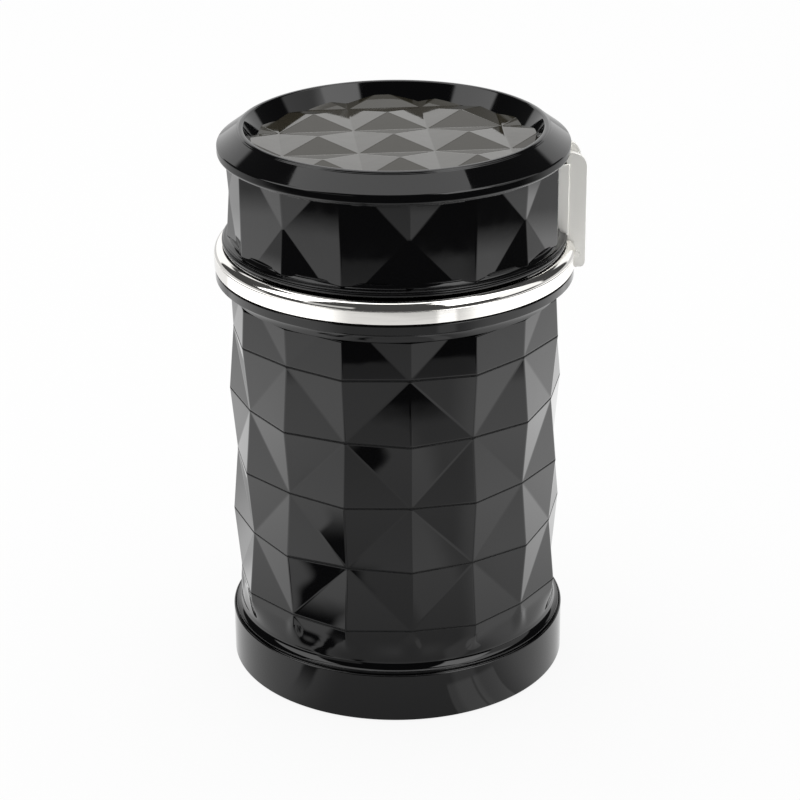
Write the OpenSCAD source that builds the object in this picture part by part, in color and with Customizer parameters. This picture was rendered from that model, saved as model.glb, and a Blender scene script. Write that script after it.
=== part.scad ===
// Hand grinder with a cut-glass jar: the head turns on the jar's neck, its lid opens on a side
// hinge, and a pair of conical burrs hangs from the head's shaft inside the jar.
// Millimetres. +Z is up, and the origin is the centre of the foot.

/* [Base cup] */
// Radius of the plain band that the jar stands in, which sets the grinder's girth
base_r = 35; // [33:0.5:40]
// Height of the plain band
base_h = 10.6; // [8:0.2:14]
// Wall of the cup
cup_wall = 1.3; // [1:0.1:2]
// Thickness of the cup's floor
cup_floor = 2; // [1.6:0.1:3]
// Height of the cup above the surface that its pad rests on
cup_lift = 0.3; // [0.2:0.1:0.8]
// Inset of the non-slip pad from the band
pad_inset = 3; // [2:0.1:8]
// Thickness of the non-slip pad
pad_h = 1.1; // [0.9:0.1:1.8]
// Thickness of the cushion under the jar
cushion_h = 0.5; // [0.4:0.1:1.2]

/* [Jar] */
// Inset of the facets' crossings, their low points, from the base band
facet_inset = 1.9; // [1.7:0.1:2.4]
// Height of the facets' peaks above their crossings
facet_d = 1.2; // [0.8:0.1:1.5]
// Pairs of facet columns round the jar
column_pairs = 8; // [6:1:10]
// Height of one row of facets
row_h = 13.7; // [12:0.1:16]
// Height of the facets' lower edge above the band
facets_rise = 2.7; // [2.4:0.1:3.5]
// Height of the lowest row of crossings above the facets' lower edge
first_row_rise = 6.4; // [5:0.1:8]
// Height of the jar's mouth
jar_top_z = 82.5; // [78:0.5:90]
// Least wall of the jar
jar_wall = 3.6; // [3.2:0.1:4]
// Thickness of the jar's bottom
jar_floor = 6; // [4:0.5:9]
// Inset of the jar's flared foot from the band
jar_foot_inset = 0.6; // [0.3:0.1:0.9]

/* [Neck insert] */
// Wall of the insert's tube
insert_wall = 1.6; // [1.2:0.1:2]
// Thickness of the insert's flange on the jar's mouth
insert_flange_h = 2; // [1.6:0.1:3]
// Inset of the insert's flange from the facets' crossings
insert_flange_inset = 0.5; // [0.3:0.1:0.9]
// Thickness of the flat gasket under the flange
gasket_h = 0.4; // [0.3:0.1:0.8]
// Number of keys that stop the insert from turning in the jar
keys = 3; // [2:1:6]
// Width of a key
key_w = 4; // [3:0.5:6]
// Depth of a key
key_d = 1.2; // [0.8:0.1:1.6]
// Height of a key
key_h = 6; // [4:0.5:9]
// Height of the insert's funnel above the outer burr
funnel_h = 6.8; // [6:0.1:8]
// Thickness of the ring that the head glides on
glide_h = 0.6; // [0.5:0.1:1]

/* [Burrs] */
// Width of the insert's seat round the outer burr
burr_seat_w = 9.2; // [8.8:0.1:9.8]
// Height of the outer burr
burr_h = 8.6; // [8:0.1:10]
// Depth of the outer burr's lower face below the jar's mouth
burr_drop = 22.5; // [21:0.5:26]
// Wall of the outer burr at its lower face
burr_wall = 3.6; // [3.2:0.1:5]
// Length of the grinding teeth
grind_h = 5.6; // [4:0.1:6]
// Narrowing of the grinding cone over its height
grind_taper = 1; // [0.5:0.1:1.5]
// Closest gap between the two burrs
burr_gap = 0.35; // [0.3:0.05:0.6]
// Number of teeth on each burr
teeth = 24; // [16:1:30]
// Depth of a tooth's groove
tooth_d = 0.7; // [0.4:0.1:1]
// Thickness of the plate that holds the outer burr
clamp_h = 1.6; // [1.2:0.1:2.4]

/* [Shaft] */
// Radius of the shaft
shaft_r = 3; // [2.8:0.1:3.4]
// Depth of the flats milled on the shaft for the burr and the driver
flat_d = 0.9; // [0.9:0.05:1.2]
// Step from the shaft down to its threaded ends
stud_step = 1; // [0.9:0.1:1.3]
// Radius of the adjusting nut
knob_r = 9; // [7:0.5:12]
// Height of the adjusting nut
knob_h = 5.6; // [4:0.2:7]
// Wire radius of the burr spring
spring_wire_r = 0.3; // [0.25:0.05:0.35]
// Open turns of the burr spring
spring_turns = 2; // [1:1:3]

/* [Head] */
// Overhang of the collar past the base band
collar_proud = 1.3; // [1:0.1:1.8]
// Height of the hollow edge under the collar's band
collar_cove_h = 2.5; // [2.2:0.1:2.8]
// Height of the collar's band
collar_band_h = 1.8; // [1.5:0.1:2.2]
// Overhang of the bright ring past the collar
ring_proud = 0.1; // [0:0.05:0.4]
// Thickness of the bright ring, outside to bore
ring_t = 2.4; // [2.2:0.1:2.6]
// Height of the ring's upright band
ring_band_h = 2.8; // [2:0.1:3]
// Height of the whole ring
ring_h = 4.4; // [4.1:0.1:4.6]
// Gap between the collar and the ring
ring_shadow = 0.4; // [0.3:0.1:0.6]
// Wall of the hopper tube
hopper_wall = 1.4; // [1:0.1:1.8]
// Thickness of the three-armed driver
driver_h = 1.6; // [1.2:0.1:2]
// Width of the driver's and the bearing bridge's arms
arm_w = 4.5; // [3.5:0.5:6]

/* [Lid] */
// Height of the lid from its lower edge to its crest
lid_h = 23.7; // [22:0.1:26]
// Gap between the bright ring and the lid
lid_gap = 0.5; // [0.4:0.1:0.7]
// Inset of the lid's bottom lip from the base band
lip_inset = 0.2; // [0:0.1:0.5]
// Height of the crossings on the lid's side above its lower edge
lid_star_rise = 10.7; // [9:0.1:11.5]
// Wall of the lid at its lower edge
lid_wall = 1.8; // [1.4:0.1:2]
// Overhang of the lid's flange past the base band
flange_proud = 0.2; // [-0.1:0.1:1]
// Height of the flange's edge above its underside
flange_edge_h = 2.6; // [2:0.1:3]
// Height of the whole flange, underside to crest
flange_h = 5.6; // [5.4:0.1:6]
// Width of the slope from the flange's edge to the crest round the dish
slope_w = 4.3; // [4:0.1:5]
// Width of the crest
crest_w = 1.1; // [0.8:0.1:1.4]
// Depth of the dish, from the crest to its floor
dish_d = 3.7; // [3:0.1:4]
// Width of the dish's sloping wall
dish_wall_w = 2.2; // [1.8:0.1:3]
// Thickness of the dish's floor panel
panel_h = 1.6; // [1.2:0.1:2]
// Side of one pyramid on the panel
pyramid_w = 15; // [12:0.5:18]
// Height of a pyramid
pyramid_h = 1.5; // [1:0.1:2]
// Thickness of the lid's liner
liner_h = 1.4; // [1.2:0.1:2]

/* [Hinge] */
// Inset of the hinge pin's axis from the bright ring's outside
pin_inset = 0.4; // [0.2:0.05:0.6]
// Height of the hinge pin's axis above the bright ring's lower edge
pin_rise = 1.1; // [0.9:0.1:1.3]
// Radius of the hinge pin
pin_r = 1; // [0.8:0.05:1.1]
// Outside width of the hinge bracket
bracket_w = 9.2; // [8.4:0.2:9.4]
// Sheet thickness of the bracket's cheeks
cheek_t = 1.2; // [1:0.1:1.4]
// Sheet thickness of the bracket's web
web_t = 1; // [0.8:0.1:1.2]
// Reach of the cheeks past the hinge pin
cheek_reach = 2.15; // [2:0.05:2.3]
// Drop of the cheeks below the hinge pin
cheek_drop = 2.6; // [2.2:0.1:2.7]
// Radius of the cheeks' upper corner
cheek_corner = 3; // [2:0.1:3]

/* [Clearances] */
// Radial clearance of a pin or a shaft that turns in its hole
run_fit = 0.05; // [0.02:0.01:0.1]
// Radial clearance of a piece that is pushed into its seat
seat_fit = 0.03; // [0.01:0.01:0.05]
// Clearance between parts that slide or turn past each other
slack = 0.3; // [0.2:0.05:0.3]
// Clearance between pieces that stand one on the other
rest_gap = 0.1; // [0.05:0.05:0.15]

/* [Hidden] */

$fn = 96;
eps = 0.01;

columns = 2 * column_pairs;
column_a = 360 / columns;
arms = 3;
arm_a = 360 / arms;

// Cup and jar, from the foot up
pad_r = base_r - pad_inset;
cup_r = base_r - cup_wall;
cup_floor_z = cup_lift + cup_floor;
rim_step = 0.3;
cup_rim_z = base_h + rim_step;
jar_z = cup_floor_z + cushion_h;
jar_inside_z = jar_z + jar_floor;
star_r = base_r - facet_inset;
peak_r = star_r + facet_d;
jar_bore_r = star_r - jar_wall;
jar_foot_r = base_r - jar_foot_inset;
facets_z = base_h + facets_rise;
first_row_z = facets_z + first_row_rise;
jar_rows = ceil((jar_top_z - first_row_z) / row_h) + 1;
cushion_w = 12;

// Neck insert and what hangs in it
insert_r = jar_bore_r - slack;
insert_bore_r = insert_r - insert_wall;
insert_flange_r = star_r - insert_flange_inset;
flange_z = jar_top_z + gasket_h;
glide_z = flange_z + insert_flange_h;
bearing_z = glide_z + glide_h + rest_gap;
burr_r = insert_r - burr_seat_w;
burr_z = jar_top_z - burr_drop;
burr_top_z = burr_z + burr_h;
lip_h = 1.5;
lip_w = 1.6;
lip_z = burr_top_z + rest_gap;
throat_z = lip_z + lip_h;
throat_r = burr_r - lip_w;
shoulder_z = throat_z + funnel_h;

// Bearing bridge and bushing
bridge_h = 1.6;
bridge_ring_w = 3;
bridge_r = insert_bore_r - 2 * rest_gap;
hub_drop = 1;
hub_rise = 3.5;
hub_wall = 1;
bushing_wall = 1;
bushing_r = shaft_r + bushing_wall;
hub_r = bushing_r + hub_wall;
hub_z = shoulder_z - hub_drop;
hub_top_z = shoulder_z + hub_rise;
bushing_flange_h = 0.8;
washer_h = 0.5;
washer_z = hub_z - bushing_flange_h - rest_gap - washer_h;

// Inner burr and what holds it
grind_r = burr_r - burr_wall;
grind_top_z = burr_z + grind_h;
inner_rise = 1;
inner_z = burr_z + inner_rise;
inner_proud = 1.4;
inner_top_z = burr_top_z + inner_proud;
inner_top_r = shaft_r + 3.5;
square_w = 2 * (shaft_r - flat_d);
square_inset = 0.5;
square_z = inner_z + square_inset;
stud_r = shaft_r - stud_step;
stud_end = 2;
click_h = 0.6;
click_z = inner_z - rest_gap - click_h;
knob_z = click_z - rest_gap - knob_h;

// Head
head_gap = 0.2;
head_z = jar_top_z + head_gap;
collar_r = base_r + collar_proud;
collar_edge_z = head_z + collar_cove_h;
collar_top_z = collar_edge_z + collar_band_h;
collar_bore_r = insert_flange_r + slack + rest_gap;
ring_r = collar_r + ring_proud;
spigot_r = ring_r - ring_t;
land_w = 1;
land_r = ring_r - land_w;
land_z = collar_top_z + ring_shadow;
ring_top_z = land_z + ring_h;
lid_z = ring_top_z + lid_gap;
deck_z = ring_top_z - head_gap;
deck_h = 1.8;
hopper_r = insert_bore_r - slack;
hopper_bore_r = hopper_r - hopper_wall;
hopper_clear = 1.4;
hopper_z = shoulder_z + bridge_h + hopper_clear;
hopper_top_z = lid_z - slack;
rib_w = 2.2;
rib_r = insert_flange_r - 2 * slack;
driver_drop = 4;
driver_z = hopper_top_z - driver_drop;
driver_r = hopper_bore_r - 2 * rest_gap;
driver_ring_w = 2;
driver_screw_r = 0.6;
driver_screw_len = 3;
driver_screw_ring = driver_r - driver_ring_w / 2;
ledge_h = 2.4;
ledge_w = driver_ring_w + rest_gap;
nut_z = driver_z + driver_h;
nut_h = 2;

// Hinge
pin_x = ring_r - pin_inset;
pin_z = land_z + pin_rise;
notch_w = bracket_w + 2 * slack;
notch_r = sqrt(pow(cheek_drop, 2) + pow(cheek_reach, 2)) + slack;
notch_x = pin_x - notch_r;
boss_wall = 1.6;
boss_depth = 2.6;
knuckle_w = bracket_w - 2 * (cheek_t + slack);
knuckle_r = 2 * pin_r;
tongue = [1.8, 4.4, 3];
bracket_x = spigot_r;
bracket_screw_r = 1;
bracket_screw_head_r = 1.9;
bracket_screw_len = 3;

// Lid
overall_h = lid_z + lid_h;
lip_r = base_r - lip_inset;
flange_r = base_r + flange_proud;
under_z = overall_h - flange_h;
cove_rise = 2;
cove_z = lid_z + cove_rise;
crest_r = flange_r - slope_w;
dish_r = crest_r - crest_w - dish_wall_w;
dish_z = overall_h - dish_d;
panel_z = dish_z - panel_h;
panel_r = dish_r - rest_gap;
panel_ledge_h = 1.6;
panel_ledge_w = 1.8;
lid_bore_r = star_r - lid_wall;
bracket_z = cove_z - 0.7;
bracket_top_z = under_z - 0.4;
bracket_screw_z = [bracket_z + 4.6, bracket_top_z - 4.8];
liner_z = lid_z + 0.7;
liner_r = lid_bore_r - slack;
liner_rim = [1.2, 1.2];
plug_w = 1.6;
plug_r = hopper_bore_r - 0.7;
plug_z = nut_z + 1.4;
seal_h = 0.8;
seal_drop = 1.8;
seal_r = hopper_bore_r - slack;

// Small fasteners
screw_r = 1.1;
screw_head_r = 2;
screw_head_h = 0.8;
screw_len = 4.5;
socket_d = 0.4;
clamp_inset = 1.8;
clamp_screw_r = (burr_r + insert_r) / 2;
bridge_screw_r = bridge_r - bridge_ring_w / 2;

glass_black = "#1b1d1f";
plastic_black = "#141517";
bright_steel = "#d9d7d2";
dark_steel = "#8f9296";
bronze = "#b08d57";
acetal = "#e8e6de";
silicone = "#b9bcbe";
rubber_black = "#232325";

// Points of an arc round (cx, cy), from angle a0 to a1
function arc(cx, cy, r, a0, a1, n = 10) =
    [for (k = [0:n]) [cx + r * cos(a0 + (a1 - a0) * k / n), cy + r * sin(a0 + (a1 - a0) * k / n)]];

// Points of a concave cove of radius r that ends upright at (in_r, top), starting at radius out_r
function cove(in_r, top, r, out_r) =
    arc(in_r + r, top, r, acos((in_r + r - out_r) / r) - 180, -180, 8);

// A ring between two radii, from z up by h
module ring(r_in, r_out, z, h) {
    translate([0, 0, z])
        difference() {
            cylinder(r = r_out, h = h);
            translate([0, 0, -1]) cylinder(r = r_in, h = h + 2);
        }
}

// A post whose wall is a lattice of flat facets: radius(i, j) gives the node at column i of row j,
// and the diagonal of each cell joins the two nodes whose i + j + turn is even
module faceted_post(z0, rows, turn, radius) {
    nodes = [for (j = [0:rows]) for (i = [0:columns - 1])
        [radius(i, j) * sin(i * column_a), -radius(i, j) * cos(i * column_a), z0 + j * row_h]];
    at = function (i, j) j * columns + i % columns;
    cells = [for (j = [0:rows - 1]) for (i = [0:columns - 1])
        each (i + j + turn) % 2 == 0
            ? [[at(i, j), at(i, j + 1), at(i + 1, j + 1)], [at(i, j), at(i + 1, j + 1), at(i + 1, j)]]
            : [[at(i, j), at(i, j + 1), at(i + 1, j)], [at(i, j + 1), at(i + 1, j + 1), at(i + 1, j)]]];
    bottom = [for (i = [0:columns - 1]) at(i, 0)];
    top = [for (i = [columns - 1:-1:0]) at(i, rows)];
    polyhedron(points = nodes, faces = concat(cells, [bottom, top]));
}

// Three arms from a hub to a ring
module three_arms(hub, r_in, r_out, z, h) {
    ring(r_in, r_out, z, h);
    for (k = [0:arms - 1])
        rotate(k * arm_a - 30)
            translate([0, -arm_w / 2, z]) cube([(r_in + r_out) / 2, arm_w, h]);
    translate([0, 0, z]) cylinder(r = hub, h = h);
}

// Screw with a hexagon socket, pointing along -Z from its seat at z
module screw(z, shank_r, head_r, head_h, len) {
    translate([0, 0, z - len]) cylinder(r = shank_r, h = len);
    difference() {
        translate([0, 0, z]) cylinder(r = head_r, h = head_h);
        translate([0, 0, z + head_h - socket_d]) cylinder(r = head_r / 2, h = 2 * socket_d, $fn = 6);
    }
}

// Round hole along Z from z up by h
module hole(r, z, h, sides = 32) {
    translate([0, 0, z]) cylinder(r = r, h = h, $fn = sides);
}

module at_arms(r, turn = 0) {
    for (k = [0:arms - 1])
        rotate(k * arm_a + turn) translate([r, 0, 0]) children();
}

// ---- Jar -------------------------------------------------------------------------------------

module base_cup() {
    edge = 0.5;
    groove = 0.25;
    groove_r = base_r - 0.45;
    rim_r = groove_r - groove;
    chamfer = 0.1;
    color(plastic_black)
        rotate_extrude()
            polygon(concat(
                [[0, pad_h], [pad_r, pad_h], [pad_r, cup_lift]],
                arc(base_r - edge, cup_lift + edge, edge, -90, 0),
                arc(base_r - edge / 2, base_h - edge / 2, edge / 2, 0, 90),
                [[groove_r, base_h], [groove_r, base_h - groove], [rim_r, base_h - groove],
                 [rim_r, cup_rim_z - chamfer], [rim_r - chamfer, cup_rim_z], [cup_r, cup_rim_z],
                 [cup_r, cup_floor_z], [0, cup_floor_z]]));
}

module foot_pad() {
    color(rubber_black) cylinder(r = pad_r - seat_fit, h = pad_h);
}

module jar_cushion() {
    color(silicone) ring(cup_r - 2.2 - cushion_w, cup_r - 2.2, cup_floor_z, cushion_h);
}

module glass_jar() {
    body_r = cup_r - slack;
    bevel = 1;
    step_z = cup_rim_z + 0.3;
    flare_z = facets_z + 0.3;
    slot_h = key_h + 1;
    slot_w = key_w + 2 * slack;
    radius = function (i, j) (i + j) % 2 == 1 ? star_r : peak_r;
    color(glass_black)
        difference() {
            union() {
                intersection() {
                    faceted_post(first_row_z - row_h, jar_rows, 1, radius);
                    translate([0, 0, facets_z - eps])
                        cylinder(r = base_r + 5, h = jar_top_z - facets_z + eps);
                }
                rotate_extrude()
                    polygon(concat(
                        [[0, jar_z], [body_r - bevel, jar_z], [body_r, jar_z + bevel],
                         [body_r, cup_rim_z + 0.05], [jar_foot_r - 0.1, cup_rim_z + 0.05],
                         [jar_foot_r, step_z]],
                        cove(star_r + 0.15, flare_z, flare_z - step_z, jar_foot_r),
                        [[0, flare_z]]));
            }
            translate([0, 0, jar_inside_z]) cylinder(r = jar_bore_r, h = jar_top_z);
            for (k = [0:keys - 1])
                rotate(k * 360 / keys)
                    translate([0, -slot_w / 2, jar_top_z - slot_h])
                        cube([jar_bore_r + key_d, slot_w, slot_h + 1]);
        }
}

// ---- Neck insert, which lifts out of the jar -------------------------------------------------

module neck_gasket() {
    color(silicone) ring(jar_bore_r + key_d + 2 * rest_gap, insert_flange_r, jar_top_z, gasket_h);
}

module neck_insert() {
    bevel = 0.5;
    seat_r = burr_r + rest_gap;
    root = 0.5;
    color(plastic_black)
        difference() {
            union() {
                rotate_extrude()
                    polygon([[seat_r, burr_z], [insert_r - bevel, burr_z], [insert_r, burr_z + bevel],
                             [insert_r, flange_z], [insert_flange_r, flange_z],
                             [insert_flange_r, glide_z], [insert_bore_r, glide_z],
                             [insert_bore_r, shoulder_z],
                             [bridge_r - bridge_ring_w - 2 * rest_gap, shoulder_z],
                             [throat_r, throat_z], [throat_r, lip_z], [seat_r, lip_z]]);
                for (k = [0:keys - 1])
                    rotate(k * 360 / keys)
                        translate([insert_bore_r + root, -key_w / 2, jar_top_z - key_h])
                            cube([insert_wall - root + key_d, key_w, key_h + gasket_h + root]);
            }
            at_arms(clamp_screw_r) hole(screw_r + seat_fit, burr_z - 1, screw_len + 1);
            at_arms(bridge_screw_r, 30)
                hole(screw_r + seat_fit, shoulder_z - screw_len + bridge_h, screw_len);
        }
}

module glide_ring() {
    color(acetal) ring(rib_r - rib_w, insert_flange_r - 2 * rest_gap, glide_z, glide_h);
}

// Cutter for one tooth's groove: a square bar on edge, leaning with the cone
module tooth_cutter(r, z, lean) {
    translate([r, 0, z])
        rotate([0, lean, 0])
            rotate(45) cube([tooth_d * 1.4, tooth_d * 1.4, burr_h * 3], center = true);
}

module outer_burr() {
    lean = -atan(grind_taper / grind_h);
    mouth_w = 2.4;
    color(dark_steel)
        difference() {
            rotate_extrude()
                polygon([[grind_r, burr_z], [burr_r, burr_z], [burr_r, burr_top_z],
                         [burr_r - mouth_w, burr_top_z], [grind_r - grind_taper, grind_top_z]]);
            for (k = [0:teeth - 1])
                rotate(k * 360 / teeth)
                    tooth_cutter(grind_r - grind_taper / 2, burr_z + grind_h / 2, lean);
        }
}

module burr_clamp() {
    color(bright_steel)
        difference() {
            ring(grind_r + 2.2, insert_r - clamp_inset, burr_z - clamp_h, clamp_h);
            at_arms(clamp_screw_r) hole(screw_r + run_fit, burr_z - clamp_h - 1, clamp_h + 2);
        }
}

module clamp_screws() {
    color(dark_steel)
        at_arms(clamp_screw_r)
            mirror([0, 0, 1])
                screw(clamp_h - burr_z, screw_r, screw_head_r, screw_head_h, screw_len);
}

module bearing_bridge() {
    color(bright_steel)
        difference() {
            union() {
                three_arms(hub_r, bridge_r - bridge_ring_w, bridge_r, shoulder_z, bridge_h);
                translate([0, 0, hub_z]) cylinder(r = hub_r, h = hub_top_z - hub_z);
            }
            translate([0, 0, hub_z - 1]) cylinder(r = bushing_r + seat_fit, h = hub_top_z - hub_z + 2);
            at_arms(bridge_screw_r, 30) hole(screw_r + run_fit, shoulder_z - 1, bridge_h + 2);
        }
}

module bridge_screws() {
    color(dark_steel)
        at_arms(bridge_screw_r, 30)
            screw(shoulder_z + bridge_h, screw_r, bridge_ring_w / 2 - rest_gap, screw_head_h, screw_len);
}

module shaft_bushing() {
    color(bronze) {
        ring(shaft_r + run_fit, bushing_r, hub_z, hub_top_z - hub_z);
        ring(shaft_r + run_fit, hub_r, hub_z - bushing_flange_h, bushing_flange_h);
    }
}

// ---- Head, which turns on the neck insert ----------------------------------------------------

// What the hinge bracket sweeps through in the collar and the bright ring
module hinge_notch() {
    translate([notch_x, -notch_w / 2, pin_z - notch_r])
        cube([10, notch_w, 2 * notch_r + 5]);
}

module head_collar() {
    edge = 0.1;
    cove_top_r = collar_r - 2 * edge;
    boss_x = notch_x - boss_depth;
    boss_w = notch_w + 2 * boss_wall;
    color(plastic_black)
        difference() {
            union() {
                rotate_extrude()
                    polygon(concat(
                        [[collar_bore_r, head_z], [cove_top_r - collar_cove_h, head_z]],
                        arc(cove_top_r, head_z, collar_cove_h, 180, 90),
                        [[collar_r, collar_edge_z + edge], [collar_r, collar_top_z - edge],
                         [collar_r - edge, collar_top_z], [land_r, collar_top_z], [land_r, land_z],
                         [spigot_r, land_z], [spigot_r, deck_z], [hopper_r + 0.5, deck_z],
                         [hopper_r, hopper_top_z], [hopper_bore_r, hopper_top_z], [hopper_bore_r, driver_z],
                         [hopper_bore_r - ledge_w, driver_z], [hopper_bore_r - ledge_w, driver_z - 0.6],
                         [hopper_bore_r, driver_z - ledge_h], [hopper_bore_r, hopper_z],
                         [hopper_r, hopper_z], [hopper_r, deck_z - deck_h],
                         [rib_r - rib_w, deck_z - deck_h], [rib_r - rib_w, bearing_z],
                         [rib_r, bearing_z], [rib_r, deck_z - deck_h], [collar_bore_r, deck_z - deck_h]]));
                intersection() {
                    translate([boss_x, -boss_w / 2, bearing_z])
                        cube([collar_r - boss_x, boss_w, deck_z - bearing_z]);
                    cylinder(r = spigot_r, h = overall_h);
                }
            }
            hinge_notch();
            translate([notch_x - tongue[0], -tongue[1] / 2, pin_z - tongue[2] / 2])
                cube([tongue[0] + 1, tongue[1], tongue[2]]);
            at_arms(driver_screw_ring, 60)
                hole(driver_screw_r + seat_fit, nut_z - driver_screw_len, driver_screw_len);
        }
}

module bright_ring() {
    bead_r = ring_h - ring_band_h;
    edge = 0.15;
    inner_edge = 0.4;
    color(bright_steel)
        difference() {
            rotate_extrude()
                polygon(concat(
                    [[spigot_r + seat_fit, land_z], [ring_r - edge, land_z], [ring_r, land_z + edge],
                     [ring_r, land_z + ring_band_h]],
                    arc(ring_r - bead_r + edge / 2, land_z + ring_band_h, bead_r, 0, 90),
                    arc(spigot_r + seat_fit + inner_edge, ring_top_z - inner_edge, inner_edge, 90, 180, 5)));
            hinge_notch();
        }
}

module hinge_knuckle() {
    color(bright_steel)
        difference() {
            union() {
                translate([pin_x, knuckle_w / 2, pin_z])
                    rotate([90, 0, 0]) cylinder(r = knuckle_r, h = knuckle_w);
                translate([notch_x, -knuckle_w / 2, pin_z - knuckle_r])
                    cube([pin_x - notch_x, knuckle_w, 2 * knuckle_r]);
                translate([notch_x - tongue[0], -tongue[1] / 2, pin_z - tongue[2] / 2])
                    cube([tongue[0] + eps, tongue[1], tongue[2]]);
            }
            translate([pin_x, knuckle_w, pin_z])
                rotate([90, 0, 0]) cylinder(r = pin_r + seat_fit, h = 2 * knuckle_w, $fn = 48);
        }
}

module hinge_pin() {
    len = notch_w - 0.3;
    color(dark_steel)
        translate([pin_x, len / 2, pin_z]) rotate([90, 0, 0]) cylinder(r = pin_r, h = len, $fn = 48);
}

module driver_plate() {
    color(bright_steel)
        difference() {
            three_arms(hub_r, driver_r - driver_ring_w, driver_r, driver_z, driver_h);
            translate([0, 0, driver_z])
                cube([square_w + 2 * run_fit, square_w + 2 * run_fit, 3 * driver_h], center = true);
            at_arms(driver_screw_ring, 60) hole(driver_screw_r + run_fit, driver_z - 1, driver_h + 2);
        }
}

module driver_screws() {
    head_r = driver_ring_w / 2 - rest_gap;
    color(dark_steel)
        at_arms(driver_screw_ring, 60)
            screw(nut_z, driver_screw_r, head_r, driver_screw_r, driver_screw_len);
}

module drive_shaft() {
    stud_z = knob_z - stud_end;
    square_top_z = inner_top_z + 1;
    color(bright_steel) {
        translate([0, 0, stud_z]) cylinder(r = stud_r, h = square_z - stud_z + eps);
        translate([-square_w / 2, -square_w / 2, square_z])
            cube([square_w, square_w, square_top_z - square_z + eps]);
        translate([0, 0, square_top_z]) cylinder(r = shaft_r, h = driver_z - square_top_z);
        translate([-square_w / 2, -square_w / 2, driver_z - eps])
            cube([square_w, square_w, driver_h - rest_gap + eps]);
        translate([0, 0, nut_z - 2 * rest_gap]) cylinder(r = stud_r, h = nut_h + 3 * rest_gap);
    }
}

module shaft_nut() {
    color(dark_steel)
        difference() {
            translate([0, 0, nut_z]) cylinder(r = stud_r + 2.2, h = nut_h, $fn = 6);
            translate([0, 0, nut_z - 1]) cylinder(r = stud_r + seat_fit, h = nut_h + 2);
        }
}

module thrust_washer() {
    color(bright_steel) ring(shaft_r + run_fit, hub_r, washer_z, washer_h);
}

// A coil of round wire between the inner burr and the washer, with one closed turn at each end
module burr_spring() {
    sides = 8;
    per_turn = 18;
    low = inner_top_z + spring_wire_r + 0.05;
    high = washer_z - spring_wire_r - 0.05;
    coil_r = shaft_r + spring_wire_r + 0.5;
    closed_rise = 2 * spring_wire_r + 0.03;
    open_rise = (high - low - 2 * closed_rise) / spring_turns;
    last = (spring_turns + 2) * per_turn;
    height = function (k) let (t = k / per_turn, open_t = min(spring_turns, max(0, t - 1)))
        low + closed_rise * (t - open_t) + open_rise * open_t;
    points = [for (k = [0:last]) let (a = k * 360 / per_turn) for (s = [0:sides - 1])
        let (b = s * 360 / sides, r = coil_r + spring_wire_r * cos(b))
            [r * cos(a), r * sin(a), height(k) + spring_wire_r * sin(b)]];
    walls = [for (k = [0:last - 1]) for (s = [0:sides - 1]) let (t = (s + 1) % sides)
        [k * sides + s, k * sides + t, (k + 1) * sides + t, (k + 1) * sides + s]];
    color(bright_steel)
        polyhedron(points = points, faces = concat(
            walls,
            [[for (s = [sides - 1:-1:0]) s], [for (s = [0:sides - 1]) last * sides + s]]));
}

// ---- Inner burr and its adjusting nut --------------------------------------------------------

module inner_burr() {
    lean = -atan(grind_taper / grind_h);
    bottom_r = grind_r - grind_taper * (inner_z - burr_z) / grind_h - burr_gap;
    top_r = grind_r - grind_taper - burr_gap;
    color(dark_steel)
        difference() {
            rotate_extrude()
                polygon([[0, inner_z], [bottom_r, inner_z], [top_r, grind_top_z],
                         [inner_top_r, inner_top_z], [0, inner_top_z]]);
            for (k = [0:teeth - 1])
                rotate(k * 360 / teeth)
                    tooth_cutter((bottom_r + top_r) / 2, burr_z + grind_h / 2, lean);
            for (k = [0:2 * arms - 1])
                rotate(k * 180 / arms)
                    translate([inner_top_r + 1.5, 0, inner_top_z])
                        rotate([0, 65, 25]) rotate(45) cube([2.2, 2.2, 12]);
            cube([square_w + 2 * run_fit, square_w + 2 * run_fit, 4 * inner_top_z], center = true);
        }
}

module click_washer() {
    color(bright_steel) ring(square_w * 0.8, knob_r - 2, click_z, click_h);
}

module adjusting_nut() {
    grips = 8;
    grip_r = 2.4;
    color(plastic_black)
        difference() {
            translate([0, 0, knob_z]) cylinder(r = knob_r, h = knob_h);
            for (k = [0:grips - 1])
                rotate(k * 360 / grips)
                    translate([knob_r + grip_r / 2, 0, 0]) hole(grip_r, knob_z - 1, knob_h + 2);
            translate([0, 0, knob_z - 1]) cylinder(r = stud_r + run_fit, h = knob_h + 2);
        }
}

// ---- Lid, which opens on the side hinge ------------------------------------------------------

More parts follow.
